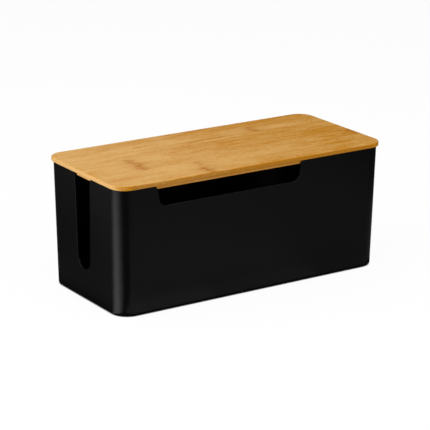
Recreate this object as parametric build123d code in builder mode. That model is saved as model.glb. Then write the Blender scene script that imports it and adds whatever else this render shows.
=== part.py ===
from build123d import *
import os

# Cable management box: a moulded plastic tub that hides a power strip, closed by a loose
# bamboo lid. Cables leave through a long notch in the front wall and a tall slot in each
# end wall. The lid is pressed from two plies of bamboo strips, all running lengthwise:
# the top ply lies on the rim of the tub, and the smaller under ply drops inside it and
# keeps the lid in place. Four rubber feet are seated in recesses under the base.
#
# Frame: origin on the table at the centre of the footprint, +X along the length, -Y to
# the front (the wall with the notch), +Z up. Millimetres.

# ---------------------------------------------------------------- overall size
lid_length = 310.0
lid_width = 140.0
overall_height = 130.0

# ---------------------------------------------------------------- lid
top_ply_thickness = 4.3
under_ply_thickness = 4.2
lid_corner_radius = 16.2
lid_overhang = 1.8  # the top ply past the outside of the rim, all round
under_ply_clearance = 0.4  # the under ply to the inside of the rim, all round
strips_per_ply = 7
top_edge_radius = 1.0
top_ply_lower_edge_radius = 0.5
under_ply_chamfer = 0.6

# ---------------------------------------------------------------- tub
wall_thickness = 2.0
floor_thickness = 2.4
rim_corner_radius = 15.3
base_corner_radius = 17.9
wall_draft = 1.5  # how much further in the walls are at the base than at the rim
base_edge_radius = 1.6
floor_edge_radius = 1.5
lip_edge_radius = 0.35  # softens the rim and both sides of every opening

# ---------------------------------------------------------------- cable openings
notch_left_margin = 41.7  # rim left standing at the left of the notch
notch_right_margin = 99.7
notch_depth = 20.7
notch_side_lean = 3.0  # how much further in each side is at the sill than at the rim
notch_sill_radius = 8.0
slot_center_y = 1.1
slot_sill_height = 30.8  # lowest point of an end slot above the base
slot_rim_width = 28.0
slot_side_lean = 2.2
slot_sill_flat = 1.2  # what stays straight between the two round corners of the sill
opening_mouth_radius = 6.0  # where an opening turns into the rim

# ---------------------------------------------------------------- feet
foot_diameter = 12.0
foot_stand = 0.6  # how far a foot holds the base off the table
foot_recess_depth = 1.1
foot_side_clearance = 0.3
foot_edge_radius = 0.3
foot_inset = 21.4  # a foot's centre from the outside of the base, both ways

# ---------------------------------------------------------------- marks left by the mould
gate_dimple_diameter = 9.0
gate_dimple_depth = 0.6
gate_nub_diameter = 2.2
gate_nub_height = 0.4
pin_mark_diameter = 7.0
pin_mark_depth = 0.15
pin_mark_inset = 26.0  # the outer marks' centres from the outside of the base, both ways
pin_mark_columns = 4
pin_mark_rows = 2

# ---------------------------------------------------------------- derived places
rim_z = overall_height - top_ply_thickness
base_z = foot_stand
floor_z = base_z + floor_thickness
under_ply_z = rim_z - under_ply_thickness
foot_thickness = foot_recess_depth + foot_stand

rim_length = lid_length - 2 * lid_overhang
rim_width = lid_width - 2 * lid_overhang
base_length = rim_length - 2 * wall_draft
base_width = rim_width - 2 * wall_draft

under_ply_setback = wall_thickness + under_ply_clearance  # from the outside of the rim
under_ply_length = rim_length - 2 * under_ply_setback
under_ply_width = rim_width - 2 * under_ply_setback
under_ply_corner_radius = rim_corner_radius - under_ply_setback

notch_width = rim_length - notch_left_margin - notch_right_margin
notch_center_x = (notch_left_margin - notch_right_margin) / 2
notch_sill_z = rim_z - notch_depth
slot_sill_z = base_z + slot_sill_height
slot_sill_radius = slot_rim_width / 2 - slot_side_lean - slot_sill_flat / 2

# An opening is cut from outside the lid's edge to well inside the wall.
cut_reach = lid_overhang + wall_draft + wall_thickness + base_edge_radius


def tub_outline(length, width, corner_radius, inset):
    """The outline of the tub's wall at one level, moved in by an inset."""
    RectangleRounded(length - 2 * inset, width - 2 * inset, corner_radius - inset)


def opening_outline(center, rim_opening, side_lean, sill_z, sill_radius):
    """An opening seen square on: open at the rim, narrower at its rounded sill."""
    sill_half = rim_opening / 2 - side_lean
    above_rim = opening_mouth_radius
    lean_per_height = side_lean / (rim_z - sill_z)
    top_half = rim_opening / 2 + lean_per_height * above_rim
    top_z = rim_z + above_rim
    with BuildSketch() as outline:
        with BuildLine():
            Polyline(
                (center - top_half, top_z),
                (center - sill_half, sill_z),
                (center + sill_half, sill_z),
                (center + top_half, top_z),
                close=True,
            )
        make_face()
        fillet(outline.vertices().sort_by(Axis.Y)[:2], sill_radius)
    return outline.sketch


# ---------------------------------------------------------------- box_shell
with BuildPart() as box_shell:
    # Outside: drafted walls, rounded along the base.
    with BuildSketch(Plane.XY.offset(base_z)):
        tub_outline(base_length, base_width, base_corner_radius, 0)
    with BuildSketch(Plane.XY.offset(rim_z)):
        tub_outline(rim_length, rim_width, rim_corner_radius, 0)
    loft(ruled=True)
    fillet(box_shell.edges().group_by(Axis.Z)[0], base_edge_radius)

    # Inside: the same draft, one wall thickness in.
    with BuildSketch(Plane.XY.offset(floor_z)):
        tub_outline(base_length, base_width, base_corner_radius, wall_thickness)
    with BuildSketch(Plane.XY.offset(rim_z)):
        tub_outline(rim_length, rim_width, rim_corner_radius, wall_thickness)
    loft(ruled=True, mode=Mode.SUBTRACT)
    floor_edges = box_shell.edges().filter_by_position(Axis.Z, floor_z, floor_z)
    fillet(floor_edges, floor_edge_radius)

    # The long notch at the top of the front wall.
    with BuildSketch(Plane.XZ.offset(lid_width / 2)):
        add(
            opening_outline(
                notch_center_x, notch_width, notch_side_lean, notch_sill_z, notch_sill_radius
            )
        )
    extrude(amount=-cut_reach, mode=Mode.SUBTRACT)

    # A tall slot in each end wall.
    for end in (-1, 1):
        with BuildSketch(Plane.YZ.offset(end * lid_length / 2)):
            add(
                opening_outline(
                    slot_center_y, slot_rim_width, slot_side_lean, slot_sill_z, slot_sill_radius
                )
            )
        extrude(amount=-end * cut_reach, mode=Mode.SUBTRACT)

    # The openings turn smoothly into the rim, and the rim and the openings have soft edges.
    on_rim = box_shell.edges().filter_by_position(Axis.Z, rim_z, rim_z)
    fillet(on_rim.filter_by(lambda edge: edge.length < 2 * wall_thickness), opening_mouth_radius)
    on_rim = box_shell.edges().filter_by_position(Axis.Z, rim_z, rim_z)
    fillet(on_rim.filter_by(lambda edge: edge.length > 2 * wall_thickness), lip_edge_radius)

    # Recesses for the feet.
    with BuildSketch(Plane.XY.offset(base_z)):
        with GridLocations(base_length - 2 * foot_inset, base_width - 2 * foot_inset, 2, 2):
            Circle(foot_diameter / 2 + foot_side_clearance)
    extrude(amount=foot_recess_depth, mode=Mode.SUBTRACT)

    # The injection gate: a dimple under the middle of the base, with a nub left in it.
    with BuildSketch(Plane.XY.offset(base_z)):
        Circle(gate_dimple_diameter / 2)
    extrude(amount=gate_dimple_depth, mode=Mode.SUBTRACT)
    with BuildSketch(Plane.XY.offset(base_z + gate_dimple_depth)):
        Circle(gate_nub_diameter / 2)
    extrude(amount=-gate_nub_height)

    # The ejector pins' round marks on the floor.
    pin_spacing_x = (base_length - 2 * pin_mark_inset) / (pin_mark_columns - 1)
    pin_spacing_y = (base_width - 2 * pin_mark_inset) / (pin_mark_rows - 1)
    with BuildSketch(Plane.XY.offset(floor_z)):
        with GridLocations(pin_spacing_x, pin_spacing_y, pin_mark_columns, pin_mark_rows):
            Circle(pin_mark_diameter / 2)
    extrude(amount=-pin_mark_depth, mode=Mode.SUBTRACT)
box_shell.part.label = "box_shell"

# ---------------------------------------------------------------- feet
feet = []
for side_y, end_name in ((-1, "front"), (1, "rear")):
    for side_x, side_name in ((-1, "left"), (1, "right")):
        foot_x = side_x * (base_length / 2 - foot_inset)
        foot_y = side_y * (base_width / 2 - foot_inset)
        with BuildPart() as foot:
            with BuildSketch():
                with Locations((foot_x, foot_y)):
                    Circle(foot_diameter / 2)
            extrude(amount=foot_thickness)
            fillet(foot.edges().group_by(Axis.Z)[0], foot_edge_radius)
        foot.part.label = f"foot_{end_name}_{side_name}"
        feet.append(foot.part)

# ---------------------------------------------------------------- lid plies, uncut
with BuildPart() as top_ply:
    with BuildSketch(Plane.XY.offset(rim_z)):
        RectangleRounded(lid_length, lid_width, lid_corner_radius)
    extrude(amount=top_ply_thickness)
    fillet(top_ply.edges().group_by(Axis.Z)[-1], top_edge_radius)
    fillet(top_ply.edges().group_by(Axis.Z)[0], top_ply_lower_edge_radius)

with BuildPart() as under_ply:
    with BuildSketch(Plane.XY.offset(under_ply_z)):
        RectangleRounded(under_ply_length, under_ply_width, under_ply_corner_radius)
    extrude(amount=under_ply_thickness)
    chamfer(under_ply.edges().group_by(Axis.Z)[0], under_ply_chamfer)

# ---------------------------------------------------------------- lid strips, front to rear
strips = []
for ply, ply_width, ply_name in (
    (top_ply.part, lid_width, "lid_top_strip"),
    (under_ply.part, under_ply_width, "lid_under_strip"),
):
    strip_width = ply_width / strips_per_ply
    for number in range(1, strips_per_ply + 1):
        front_seam_y = (number - 1) * strip_width - ply_width / 2
        with BuildPart() as strip:
            add(ply)
            if number > 1:
                split(bisect_by=Plane.XZ.offset(-front_seam_y), keep=Keep.BOTTOM)
            if number < strips_per_ply:
                split(bisect_by=Plane.XZ.offset(-front_seam_y - strip_width), keep=Keep.TOP)
        strip.part.label = f"{ply_name}_{number}"
        strips.append(strip.part)

# ---------------------------------------------------------------- files
os.makedirs("parts", exist_ok=True)
for piece in [box_shell.part, *feet, *strips]:
    export_step(piece, f"parts/{piece.label}.step")
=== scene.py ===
import math

import bpy
from mathutils import Matrix, Vector


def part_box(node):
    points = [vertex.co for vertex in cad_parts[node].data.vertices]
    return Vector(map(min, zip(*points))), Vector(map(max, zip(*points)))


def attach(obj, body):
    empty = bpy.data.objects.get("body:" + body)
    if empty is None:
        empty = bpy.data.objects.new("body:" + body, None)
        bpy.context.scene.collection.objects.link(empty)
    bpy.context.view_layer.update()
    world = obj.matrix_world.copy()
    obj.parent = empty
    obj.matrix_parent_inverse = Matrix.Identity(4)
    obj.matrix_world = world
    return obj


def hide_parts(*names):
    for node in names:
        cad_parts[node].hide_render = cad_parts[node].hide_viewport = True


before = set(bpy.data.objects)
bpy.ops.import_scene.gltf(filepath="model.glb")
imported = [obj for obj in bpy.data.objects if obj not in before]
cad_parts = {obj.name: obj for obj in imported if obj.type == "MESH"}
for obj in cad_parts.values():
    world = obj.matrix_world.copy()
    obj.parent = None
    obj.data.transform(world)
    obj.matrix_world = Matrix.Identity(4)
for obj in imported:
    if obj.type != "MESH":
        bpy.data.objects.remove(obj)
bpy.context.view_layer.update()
print("cable box: frame loaded")

# camera: a long lens, looking down on the box from the front left

cameraView = {
    "azimuth": -33.43,  # degrees round the box, 0 looks along +Y
    "elevation": 17.39,
    "roll": 0.36,
    "distance": 1.95407,  # metres from the point it looks at
    "aim": (-0.00236, 0.0, 0.06073),
    "lens": 163.87,  # mm
    "sensor": 36,  # mm
    "farthest": 50,  # metres
}


def makeCamera(spec):
    azimuth = math.radians(spec["azimuth"])
    elevation = math.radians(spec["elevation"])
    roll = math.radians(spec["roll"])
    back = Vector((
        math.sin(azimuth) * math.cos(elevation),
        -math.cos(azimuth) * math.cos(elevation),
        math.sin(elevation),
    ))
    right = (-back).cross(Vector((0, 0, 1))).normalized()
    up = right.cross(-back)
    tiltedRight = right * math.cos(roll) + up * math.sin(roll)
    tiltedUp = up * math.cos(roll) - right * math.sin(roll)
    data = bpy.data.cameras.new("camera")
    data.lens = spec["lens"]
    data.sensor_width = spec["sensor"]
    data.clip_end = spec["farthest"]
    camera = bpy.data.objects.new("camera", data)
    place = Matrix((tiltedRight, tiltedUp, back)).transposed().to_4x4()
    place.translation = Vector(spec["aim"]) + back * spec["distance"]
    camera.matrix_world = place
    bpy.context.scene.collection.objects.link(camera)
    bpy.context.scene.camera = camera


makeCamera(cameraView)
print("cable box: camera placed")

# small helpers for node trees

noiseRange = (0.3, 0.7)  # nearly all values of a noise texture lie in here
patchRange = (0.35, 0.7)  # the same, for patches that take up less than half of a surface
bumpStrength = 0.4


def feed(tree, socket, value):  # a link from another node, or a plain value
    if isinstance(value, bpy.types.NodeSocket):
        tree.links.new(value, socket)
    else:
        socket.default_value = value


def put(tree, kind, values=None, **settings):  # a node with its settings and socket values
    made = tree.nodes.new(kind)
    for name, value in settings.items():
        setattr(made, name, value)
    for socket, value in (values or {}).items():
        feed(tree, made.inputs[socket], value)
    return made


def calc(tree, operation, *terms, clamp=False):
    values = dict(enumerate(terms))
    return put(tree, "ShaderNodeMath", values, operation=operation, use_clamp=clamp).outputs[0]


def total(tree, *terms):
    result = terms[0]
    for term in terms[1:]:
        result = calc(tree, "ADD", result, term)
    return result


def product(tree, *terms):
    result = terms[0]
    for term in terms[1:]:
        result = calc(tree, "MULTIPLY", result, term)
    return result


def stretched(tree, vector, factors):
    values = {"Vector": vector, "Scale": factors}
    return put(tree, "ShaderNodeMapping", values).outputs[0]


def moved(tree, vector, x, y):
    step = put(tree, "ShaderNodeCombineXYZ", {0: x, 1: y}).outputs[0]
    return put(tree, "ShaderNodeVectorMath", {0: vector, 1: step}, operation="ADD").outputs[0]


def noise(tree, vector, scale=1.0, detail=2.0, roughness=0.5):
    values = {"Vector": vector, "Scale": scale, "Detail": detail, "Roughness": roughness}
    return put(tree, "ShaderNodeTexNoise", values).outputs["Fac"]


def remap(tree, value, low, high, newLow=0.0, newHigh=1.0):
    values = {"Value": value, "From Min": low, "From Max": high, "To Min": newLow, "To Max": newHigh}
    return put(tree, "ShaderNodeMapRange", values).outputs[0]


def spread(tree, value, reach):  # noise turned to plus or minus reach
    return remap(tree, value, *noiseRange, -reach, reach)


def mixColour(tree, share, first, second):
    return put(tree, "ShaderNodeMix", {0: share, 6: first, 7: second}, data_type="RGBA").outputs[2]


def hump(tree, value):  # 1 in the middle, fading to 0 at about 2 either way
    return calc(tree, "EXPONENT", product(tree, value, value, -1.0))


def newMaterial(name):
    material = bpy.data.materials.new(name)
    material.use_nodes = True
    tree = material.node_tree
    shader = next(n for n in tree.nodes if n.type == "BSDF_PRINCIPLED")
    place = put(tree, "ShaderNodeTexCoord").outputs["Object"]
    return material, tree, shader, place


def connect(tree, shader, colour, roughness, height, depth, specular):
    values = {"Height": height, "Strength": bumpStrength, "Distance": depth}
    bump = put(tree, "ShaderNodeBump", values)
    feed(tree, shader.inputs["Base Color"], colour)
    feed(tree, shader.inputs["Roughness"], roughness)
    feed(tree, shader.inputs["Normal"], bump.outputs[0])
    feed(tree, shader.inputs["Specular IOR Level"], specular)


def dress(nodes, material):
    for name in nodes:
        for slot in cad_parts[name].material_slots:
            slot.material = material


# tub: black polypropylene with the fine matt grain of a spark-eroded mould

tubFinish = {
    "black": (0.0009, 0.0009, 0.0010, 1),
    "rubbed": (0.0015, 0.0015, 0.0016, 1),
    "specular": 0.21,
    "roughness": (0.28, 0.33),
    "cloudScale": 9,  # patches of about 11 cm
    "grainScale": 2600,  # grains of about 0.4 mm
    "grainDepth": 0.000012,
}


def makeTubPlastic(spec):
    material, tree, shader, place = newMaterial("tubPlastic")
    clouds = noise(tree, place, spec["cloudScale"], detail=4, roughness=0.6)
    grain = noise(tree, place, spec["grainScale"], detail=2, roughness=0.6)
    colour = mixColour(tree, remap(tree, clouds, *patchRange), spec["black"], spec["rubbed"])
    rough = remap(tree, clouds, *noiseRange, *spec["roughness"])
    connect(tree, shader, colour, rough, grain, spec["grainDepth"], spec["specular"])
    return material


dress(["box_shell"], makeTubPlastic(tubFinish))
print("cable box: tub dressed")

# feet: soft black rubber

footFinish = {
    "dark": (0.010, 0.010, 0.010, 1),
    "dusty": (0.022, 0.021, 0.020, 1),
    "roughness": (0.7, 0.85),
    "specular": 0.3,
    "cloudScale": 260,  # patches of about 4 mm
    "speckleScale": 1800,  # specks of about 0.6 mm
    "speckleDepth": 0.00004,
}


def makeFootRubber(spec):
    material, tree, shader, place = newMaterial("footRubber")
    speckle = noise(tree, place, spec["speckleScale"], detail=3, roughness=0.7)
    clouds = noise(tree, place, spec["cloudScale"], detail=3, roughness=0.6)
    colour = mixColour(tree, remap(tree, clouds, *patchRange), spec["dark"], spec["dusty"])
    rough = remap(tree, speckle, *noiseRange, *spec["roughness"])
    connect(tree, shader, colour, rough, speckle, spec["speckleDepth"], spec["specular"])
    return material


footShape = {  # lengths in metres; the diameter and the thickness come from the frame
    "Edge Radius": 0.0003,
    "Ring Depth": 0.00025,
    "Rings": 3,
}
footSteps = {"around": 48, "under": 24, "edge": 4, "wall": 1, "top": 2}
weldDistance = 0.000001


def makeFootNodes(steps):  # a disc turned from its profile, one at each given place
    tree = bpy.data.node_groups.new("rubberFeet", "GeometryNodeTree")
    sockets = {
        "Places": "NodeSocketGeometry",
        "Diameter": "NodeSocketFloat",
        "Thickness": "NodeSocketFloat",
        "Edge Radius": "NodeSocketFloat",
        "Ring Depth": "NodeSocketFloat",
        "Rings": "NodeSocketInt",
        "Rubber": "NodeSocketMaterial",
    }
    for name, kind in sockets.items():
        tree.interface.new_socket(name, in_out="INPUT", socket_type=kind)
    tree.interface.new_socket("Feet", in_out="OUTPUT", socket_type="NodeSocketGeometry")
    given = put(tree, "NodeGroupInput").outputs

    # a flat grid: one way goes round the foot, the other from the middle of its underside,
    # over the edge and up the wall, to the middle of its top
    edgeAt = steps["under"]
    wallAt = edgeAt + steps["edge"]
    topAt = wallAt + steps["wall"]
    end = topAt + steps["top"]
    size = {"Size X": 1, "Size Y": 1, "Vertices X": steps["around"] + 1, "Vertices Y": end + 1}
    grid = put(tree, "GeometryNodeMeshGrid", size).outputs["Mesh"]
    place = put(tree, "ShaderNodeSeparateXYZ", {0: put(tree, "GeometryNodeInputPosition").outputs[0]})
    turn = remap(tree, place.outputs[0], -0.5, 0.5, 0, math.tau)
    walk = remap(tree, place.outputs[1], -0.5, 0.5, 0, end)

    radius = product(tree, given["Diameter"], 0.5)
    edge = given["Edge Radius"]
    outward = remap(tree, walk, 0, edgeAt)
    bend = remap(tree, walk, edgeAt, wallAt, 0, math.pi / 2)
    reach = product(tree, outward, calc(tree, "SUBTRACT", radius, edge))
    reach = total(tree, reach, product(tree, calc(tree, "SINE", bend), edge))
    reach = total(tree, reach, product(tree, remap(tree, walk, topAt, end), radius, -1.0))

    rings = calc(tree, "COSINE", product(tree, outward, given["Rings"], math.tau))
    grooves = product(tree, calc(tree, "SUBTRACT", 1.0, rings), 0.5, given["Ring Depth"])
    rounding = product(tree, calc(tree, "SUBTRACT", 1.0, calc(tree, "COSINE", bend)), edge)
    rise = calc(tree, "SUBTRACT", given["Thickness"], edge)
    wall = product(tree, remap(tree, walk, wallAt, topAt), rise)
    point = put(tree, "ShaderNodeCombineXYZ", {
        0: product(tree, reach, calc(tree, "COSINE", turn)),
        1: product(tree, reach, calc(tree, "SINE", turn)),
        2: total(tree, grooves, rounding, wall),
    }).outputs[0]
    foot = put(tree, "GeometryNodeSetPosition", {"Geometry": grid, "Position": point}).outputs[0]
    welded = {"Geometry": foot, "Distance": weldDistance}
    foot = put(tree, "GeometryNodeMergeByDistance", welded).outputs[0]
    foot = put(tree, "GeometryNodeSetShadeSmooth", {"Geometry": foot}).outputs[0]

    placed = put(tree, "GeometryNodeInstanceOnPoints", {"Points": given["Places"], "Instance": foot})
    real = put(tree, "GeometryNodeRealizeInstances", {"Geometry": placed.outputs[0]}).outputs[0]
    dressed = put(tree, "GeometryNodeSetMaterial", {"Geometry": real, "Material": given["Rubber"]})
    put(tree, "NodeGroupOutput", {"Feet": dressed.outputs[0]})
    return tree


def makeFeet(nodes, shape, steps, material):
    boxes = [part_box(name) for name in nodes]
    places = [((low.x + high.x) / 2, (low.y + high.y) / 2, low.z) for low, high in boxes]
    low, high = boxes[0]
    values = {"Diameter": high.x - low.x, "Thickness": high.z - low.z, "Rubber": material, **shape}
    mesh = bpy.data.meshes.new("feet")
    mesh.from_pydata(places, [], [])
    piece = bpy.data.objects.new("feet", mesh)
    bpy.context.scene.collection.objects.link(piece)
    turned = piece.modifiers.new("rubberFeet", "NODES")
    turned.node_group = makeFootNodes(steps)
    for socket in turned.node_group.interface.items_tree:
        if socket.name in values:
            turned[socket.identifier] = values[socket.name]
    evaluated = piece.evaluated_get(bpy.context.evaluated_depsgraph_get())
    turnedMesh = bpy.data.meshes.new_from_object(evaluated)
    turnedMesh.materials.clear()  # the tree leaves an empty slot in front of the rubber
    turnedMesh.materials.append(material)
    turnedMesh.polygons.foreach_set("material_index", [0] * len(turnedMesh.polygons))
    piece.modifiers.clear()
    piece.data = turnedMesh
    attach(piece, "tub")
    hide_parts(*nodes)


feetNodes = [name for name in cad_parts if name.startswith("foot_")]
makeFeet(feetNodes, footShape, footSteps, makeFootRubber(footFinish))
print("cable box: feet turned and dressed")

# lid: flat-pressed bamboo, strips glued edge to edge, under a clear matt lacquer

lidFinish = {
    "baseTone": 0.45,  # 0 is pale and 1 is deep
    "stripTone": 0.25,  # how far apart the strips may be
    "paintedLightFalloff": 1.3,  # painted light: how much deeper the cane is painted per metre towards the right end, away from the key light at the left
    "knuckle": (0.400, 0.136, 0.001, 1),
    "glue": (0.300, 0.110, 0.015, 1),
    "glueWidth": 0.010,  # share of a strip's width, to either side of the seam
    "glueShare": 0.35,
    "endGrainAndPaintedLight": (0.690, 0.415, 0.160, 1),  # where the fibres are cut across; partly real end grain, and partly painted light, paler for the lit left end
    "bundle": (0.480, 0.240, 0.070, 1),
    "bundleScale": 900,  # bundles about 1.1 mm apart
    "bundleEdge": (0.18, 0.34),  # where a bundle begins to fade and where it ends
    "bundleShare": 0.6,
    "sideTurn": (0.3, 0.8),  # how far a face is turned where it begins to be, and is, a side
    "endTurn": (0.76, 0.98),
    "specular": (0.30, 0.12),  # on the faces, and on the edges, which are sanded
    "roughness": (0.46, 0.56),
    "relief": {"fibres": 0.6, "streaks": 0.4},
    "reliefDepth": 0.00002,
}
caneLook = {
    "shift": 3.0,  # metres, the most that a strip's grain is moved by
    "swayScale": (12, 30, 30),
    "sway": 0.003,  # metres to either side
}
grainSpread = {
    # name: noise scale along and across the strip, share of the tone it may add or take
    "clouds": (12, 22, 0.30),
    "bands": (14, 120, 0.26),
    "streaks": (32, 430, 0.34),
    "mottle": (260, 520, 0.28),
    "fibres": (150, 2300, 0.28),
}
knuckleShape = {
    "halfLength": 0.0064,  # metres along the strip
    "bow": 0.4,  # half lengths that its sides lie further right than its middle
    "fray": 0.6,  # half lengths that the fibres run out
    "fingerScale": (20, 420, 420),
    "blotchScale": (260, 200, 200),
    "blotches": (0.35, 0.6, 0.5, 1.0),  # noise from and to, and how dark it makes the core
    "haloNarrow": 0.45,  # the halo is wider than the core by one over this
    "haloShare": 0.30,
}
stainLook = {
    "ragged": (0.3, 0.6),  # noise from and to, between which the streaks let a stain through
    "gain": 1.6,  # makes up for what they hold back
}
topPly = {
    "seed": 3.0,
    "pale": (0.625, 0.356, 0.104, 1),
    "deep": (0.470, 0.190, 0.005, 1),
    "paintedSideShade": 0.62,  # painted shade: how much deeper the long edges, which face front and back, are painted
    "knuckles": [  # x and y of each joint of the cane, in metres, and how dark it is
        (-0.099, 0.000, 0.90),
        (-0.101, -0.020, 1.00),
        (0.152, -0.020, 1.00),
        (-0.047, -0.040, 0.55),
        (-0.052, -0.060, 0.95),
        (0.068, 0.040, 0.90),
    ],
    "stains": [  # x, y, half length, half width, and how much darker, or paler below zero
        (0.015, 0.060, 0.110, 0.0110, 0.40),
        (0.000, 0.040, 0.300, 0.0110, -0.32),
        (0.035, 0.020, 0.055, 0.0110, 0.34),
        (0.135, -0.020, 0.040, 0.0110, 0.42),
        (-0.060, -0.040, 0.160, 0.0110, -0.32),
        (-0.080, -0.060, 0.035, 0.0110, -0.28),
        (-0.010, 0.032, 0.045, 0.0022, 0.45),
        (0.017, 0.013, 0.030, 0.0020, 0.35),
        (-0.060, 0.043, 0.015, 0.0022, 0.45),
        (-0.122, -0.046, 0.028, 0.0020, 0.45),
        (0.117, -0.046, 0.012, 0.0024, 0.80),
        (0.126, 0.002, 0.022, 0.0110, 0.40),
        (-0.1445, -0.070, 0.007, 0.0022, 0.50),
    ],
}
underPly = {
    "seed": 11.0,
    # painted light: the under ply is painted paler than the top ply, which lifts its front edge out
    # of the shade under the overhang
    "pale": (0.780, 0.385, 0.095, 1),
    "deep": (0.650, 0.270, 0.012, 1),
    # painted shade on the long edges, lighter than on the top ply
    "paintedSideShade": 0.15,
    "knuckles": [
        (0.060, 0.0000, 0.60),
        (-0.120, 0.0188, 0.70),
        (-0.020, -0.0376, 0.70),
        (0.110, -0.0188, 0.60),
        (0.020, 0.0564, 0.70),
    ],
    "stains": [
        (-0.080, -0.020, 0.030, 0.0020, 0.5),
        (0.050, 0.040, 0.040, 0.0022, 0.4),
    ],
}


def fromSpot(tree, along, across, x, y, halfLength, halfWidth):  # in half lengths and widths
    u = calc(tree, "DIVIDE", calc(tree, "SUBTRACT", along, x), halfLength)
    v = calc(tree, "DIVIDE", calc(tree, "SUBTRACT", across, y), halfWidth)
    return u, v


def makeBamboo(name, finish, ply, plyWidth, stripCount):
    material, tree, shader, place = newMaterial(name)
    stripWidth = plyWidth / stripCount
    axes = put(tree, "ShaderNodeSeparateXYZ", {0: place})
    along, across = axes.outputs[0], axes.outputs[1]

    # which strip a point is in, and three numbers of its own for each strip
    stripPlace = calc(tree, "DIVIDE", calc(tree, "ADD", across, plyWidth / 2), stripWidth)
    stripNumber = calc(tree, "FLOOR", stripPlace)
    seedPlace = put(tree, "ShaderNodeCombineXYZ", {0: stripNumber, 1: ply["seed"]}).outputs[0]
    chance = put(tree, "ShaderNodeTexWhiteNoise", {"Vector": seedPlace}).outputs["Color"]
    own = put(tree, "ShaderNodeSeparateColor", {0: chance}).outputs

    # each strip comes from another cane, so the grain breaks at the seams, and it sways a little
    shift = caneLook["shift"]
    cane = moved(tree, place, product(tree, own[0], shift), product(tree, own[1], shift))
    sway = noise(tree, stretched(tree, cane, caneLook["swayScale"]))
    sway = remap(tree, sway, 0.0, 1.0, -caneLook["sway"], caneLook["sway"])
    swayed = moved(tree, cane, 0.0, sway)

    # the tone, from pale to deep: the strip's own, painted light that deepens it towards the right
    # end, the layers of grain, the stains, and painted shade on the sides
    layers = {}
    tone = product(tree, calc(tree, "SUBTRACT", own[2], 0.5), finish["stripTone"])
    # painted light: paler towards the left end, deeper towards the right
    tone = total(tree, tone, product(tree, along, finish["paintedLightFalloff"]))
    for layer, (alongScale, acrossScale, share) in grainSpread.items():
        pattern = stretched(tree, swayed, (alongScale, acrossScale, acrossScale))
        layers[layer] = noise(tree, pattern, detail=4, roughness=0.62)
        tone = total(tree, tone, spread(tree, layers[layer], share))
    for *spot, strength in ply["stains"]:
        u, v = fromSpot(tree, along, across, *spot)
        ragged = remap(tree, layers["streaks"], *stainLook["ragged"])
        strength *= stainLook["gain"]
        tone = total(tree, tone, product(tree, hump(tree, u), hump(tree, v), ragged, strength))
    facing = put(tree, "ShaderNodeTexCoord").outputs["Normal"]
    turned = put(tree, "ShaderNodeSeparateXYZ", {0: facing}).outputs
    toSide = calc(tree, "ABSOLUTE", turned[1])
    # painted shade: faces turned to the front or the back are painted deeper
    paintedSideShade = product(tree, remap(tree, toSide, *finish["sideTurn"]), ply["paintedSideShade"])
    tone = calc(tree, "ADD", total(tree, tone, paintedSideShade), finish["baseTone"], clamp=True)
    colour = mixColour(tree, tone, ply["pale"], ply["deep"])

    # joints of the cane: a bowed core whose ends run out along the fibres, in a soft brown halo
    shape = knuckleShape
    fingers = noise(tree, stretched(tree, cane, shape["fingerScale"]), detail=3, roughness=0.7)
    blotches = noise(tree, stretched(tree, cane, shape["blotchScale"]), detail=2, roughness=0.6)
    dark = 0.0
    for x, y, strength in ply["knuckles"]:
        u, v = fromSpot(tree, along, across, x, y, shape["halfLength"], stripWidth / 2)
        bow = product(tree, v, v, -shape["bow"])
        u = total(tree, u, bow, spread(tree, fingers, shape["fray"]))
        inside = calc(tree, "LESS_THAN", calc(tree, "ABSOLUTE", v), 1.0)
        core = product(tree, hump(tree, u), remap(tree, blotches, *shape["blotches"]))
        wide = product(tree, u, shape["haloNarrow"])
        halo = product(tree, hump(tree, wide), shape["haloShare"])
        spot = product(tree, calc(tree, "MAXIMUM", core, halo), inside, strength)
        dark = calc(tree, "MAXIMUM", dark, spot)
    colour = mixColour(tree, dark, colour, finish["knuckle"])

    # the cut ends of the fibre bundles show as dots on the end faces, on a pale ground that is partly
    # painted light
    toEnd = calc(tree, "ABSOLUTE", turned[0])
    cut = {"Vector": stretched(tree, cane, (0, 1, 1)), "Scale": finish["bundleScale"]}
    fromBundle = put(tree, "ShaderNodeTexVoronoi", cut).outputs["Distance"]
    dots = remap(tree, fromBundle, *finish["bundleEdge"], finish["bundleShare"], 0.0)
    endColour = mixColour(tree, dots, finish["endGrainAndPaintedLight"], finish["bundle"])
    colour = mixColour(tree, remap(tree, toEnd, *finish["endTurn"]), colour, endColour)

    # glue lines are a hair wide
    fromSeam = calc(tree, "PINGPONG", stripPlace, 0.5)
    glue = remap(tree, fromSeam, 0.0, finish["glueWidth"], finish["glueShare"], 0.0)
    colour = mixColour(tree, glue, colour, finish["glue"])

    rough = remap(tree, layers["streaks"], *noiseRange, *finish["roughness"])
    relief = [product(tree, layers[layer], share) for layer, share in finish["relief"].items()]
    relief = total(tree, *relief)
    edge = calc(tree, "MAXIMUM", toSide, toEnd)
    sheen = remap(tree, edge, *finish["sideTurn"], *finish["specular"])
    connect(tree, shader, colour, rough, relief, finish["reliefDepth"], sheen)
    return material


def plyNodes(prefix):  # the strips of one ply, and the width they make up together
    names = sorted(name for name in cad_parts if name.startswith(prefix))
    front = min(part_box(name)[0].y for name in names)
    rear = max(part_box(name)[1].y for name in names)
    return names, rear - front


for prefix, ply in (("lid_top_strip_", topPly), ("lid_under_strip_", underPly)):
    names, plyWidth = plyNodes(prefix)
    dress(names, makeBamboo(prefix + "bamboo", lidFinish, ply, plyWidth, len(names)))
print("cable box: lid dressed")

# set: a white floor, a white room, soft boxes, and cards that lie on the floor

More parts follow.
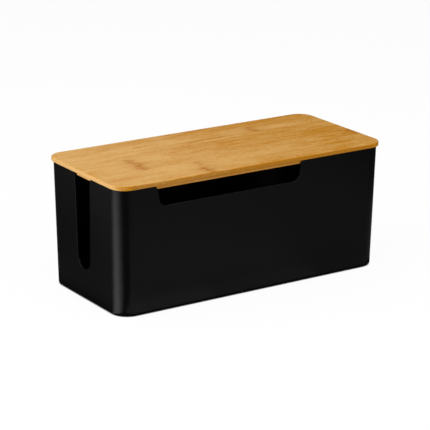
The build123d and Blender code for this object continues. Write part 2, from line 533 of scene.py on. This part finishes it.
floorLook = {
    "size": 12.0,  # metres
    "paint": (0.05, 0.05, 0.05, 1),
    "seen": 0.94,  # brightness for each kind of ray, on top of what the lamps give
    "polished": 0.004,
    "diffuse": 0.22,
    "contact": 0.0026,  # metres, how near something has to be for a painted contact shadow on the floor under it
    "contactSamples": 8,
    "covered": (0.2, 0.6),  # open share of the sky where the floor is black, and where it is white
}
roomLook = {"seen": 1.0, "polished": 0.006, "diffuse": 0.40}
softBoxes = {
    # name: place, what it points at, width and height in metres, watts, colour
    "keyLeft": ((-1.50, 0.12, 0.66), (-0.10, 0, 0.10), 1.4, 1.0, 9.8, (1.0, 0.985, 0.96)),
    "topSoft": ((-0.55, 0.10, 1.50), (0, 0, 0.10), 1.8, 1.8, 16.3, (1.0, 0.99, 0.97)),
    "backSoft": ((0.24, 0.75, 0.36), (-0.08, 0, 0.13), 0.4, 0.3, 0.26, (1.0, 0.985, 0.96)),
    "frontFill": ((0.25, -1.80, 1.05), (0, 0, 0.08), 2.0, 1.5, 25, (1.0, 0.99, 0.97)),
}
floorCards = {
    # reflector cards that lie on the floor: x from and to, y from and to, brightness
    "nearCorner": (-0.152, -0.118, -0.11, -0.069, 0.46),
    "nearLeft": (-0.118, -0.04, -0.103, -0.069, 0.386),
    "nearMiddle": (-0.04, 0.08, -0.103, -0.069, 0.276),
    "nearRight": (0.08, 0.16, -0.103, -0.069, 0.172),
    "frontCorner": (-0.152, -0.12, -0.25, -0.11, 0.36),
    "frontLeft": (-0.12, 0.09, -0.25, -0.11, 0.272),
    "frontRight": (0.09, 0.34, -0.25, -0.11, 0.164),
    "frontFar": (-0.17, 0.34, -0.56, -0.25, 0.215),
    "right": (0.16, 0.34, -0.11, 0.02, 0.12),
    "leftNear": (-0.1875, -0.158, -0.033, 0.14, 0.030),
    "leftNext": (-0.20, -0.1875, -0.017, 0.14, 0.030),
    "back": (-0.60, -0.34, 0.20, 0.42, 0.20),
}
cardFan = {  # more of them, spread out to the left of the rounded corner
    "tip": (-0.1425, -0.0573),
    "wedges": (  # from and to, in degrees off -X towards +Y, and brightness
        (-33.0, -14.5, 1.15),
        (-14.5, 17.8, 2.60),
        (17.8, 31.8, 1.30),
    ),
    "reach": (0.0095, 0.0135, 0.02, 0.03, 0.045, 0.08, 0.14, 0.25, 0.46),
    "twist": 27.0,  # degrees added per metre from the tip
}
cardLook = {"height": 0.002, "colour": (1.0, 0.982, 0.988)}


def rayStrength(tree, look):  # how bright the set is for each kind of ray
    rays = put(tree, "ShaderNodeLightPath").outputs
    direct = calc(tree, "ADD", rays["Is Camera Ray"], rays["Is Transmission Ray"])
    return total(
        tree,
        product(tree, direct, look["seen"]),
        product(tree, rays["Is Glossy Ray"], look["polished"]),
        product(tree, rays["Is Diffuse Ray"], look["diffuse"]),
    )


def makeFloor(spec):
    half = spec["size"] / 2
    corners = [(-half, -half, 0), (half, -half, 0), (half, half, 0), (-half, half, 0)]
    mesh = bpy.data.meshes.new("floor")
    mesh.from_pydata(corners, [], [(0, 1, 2, 3)])
    floor = bpy.data.objects.new("floor", mesh)
    bpy.context.scene.collection.objects.link(floor)
    material = bpy.data.materials.new("floorPaper")
    material.use_nodes = True
    tree = material.node_tree
    tree.nodes.clear()
    paper = put(tree, "ShaderNodeBsdfDiffuse", {"Color": spec["paint"]}).outputs[0]
    # painted contact shadow: the floor's glow is darkened where something lies close above it
    reach = {"Distance": spec["contact"]}
    sky = put(tree, "ShaderNodeAmbientOcclusion", reach, samples=spec["contactSamples"])
    uncovered = remap(tree, sky.outputs["AO"], *spec["covered"])
    bright = product(tree, rayStrength(tree, spec), uncovered)
    glow = put(tree, "ShaderNodeEmission", {"Strength": bright}).outputs[0]
    lit = put(tree, "ShaderNodeAddShader", {0: paper, 1: glow}).outputs[0]
    below = put(tree, "ShaderNodeNewGeometry").outputs["Backfacing"]
    clear = put(tree, "ShaderNodeBsdfTransparent").outputs[0]
    oneSided = put(tree, "ShaderNodeMixShader", {0: below, 1: lit, 2: clear}).outputs[0]
    put(tree, "ShaderNodeOutputMaterial", {"Surface": oneSided})
    mesh.materials.append(material)


def makeRoom(spec):
    world = bpy.data.worlds.new("room")
    bpy.context.scene.world = world
    world.use_nodes = True
    tree = world.node_tree
    tree.nodes.clear()
    values = {"Color": (1, 1, 1, 1), "Strength": rayStrength(tree, spec)}
    walls = put(tree, "ShaderNodeBackground", values)
    put(tree, "ShaderNodeOutputWorld", {"Surface": walls.outputs[0]})


def makeSoftBox(name, place, aim, width, height, watts, colour):
    data = bpy.data.lights.new(name, "AREA")
    data.shape = "RECTANGLE"
    data.size, data.size_y = width, height
    data.energy = watts
    data.color = colour
    lamp = bpy.data.objects.new(name, data)
    lamp.location = place
    lamp.rotation_euler = (Vector(aim) - Vector(place)).to_track_quat("-Z", "Y").to_euler()
    lamp.visible_camera = False
    bpy.context.scene.collection.objects.link(lamp)


def makeCard(name, xFrom, xTo, yFrom, yTo, brightness):
    x, y = (xFrom + xTo) / 2, (yFrom + yTo) / 2
    width, height = xTo - xFrom, yTo - yFrom
    place = (x, y, cardLook["height"])
    watts = brightness * math.pi * width * height
    makeSoftBox(name, place, (x, y, 1), width, height, watts, cardLook["colour"])


def makeCardFan(spec):
    tipX, tipY = spec["tip"]
    for near, far in zip(spec["reach"], spec["reach"][1:]):
        middle = (near + far) / 2
        twist = spec["twist"] * middle
        for start, stop, brightness in spec["wedges"]:
            low = tipY + middle * math.tan(math.radians(start + twist))
            high = tipY + middle * math.tan(math.radians(stop + twist))
            makeCard("fan", tipX - far, tipX - near, low, high, brightness)


makeFloor(floorLook)
makeRoom(roomLook)
for name, spec in softBoxes.items():
    makeSoftBox(name, *spec)
for name, spec in floorCards.items():
    makeCard(name, *spec)
makeCardFan(cardFan)
bpy.context.scene.view_settings.view_transform = "Standard"
print("cable box: set lit")
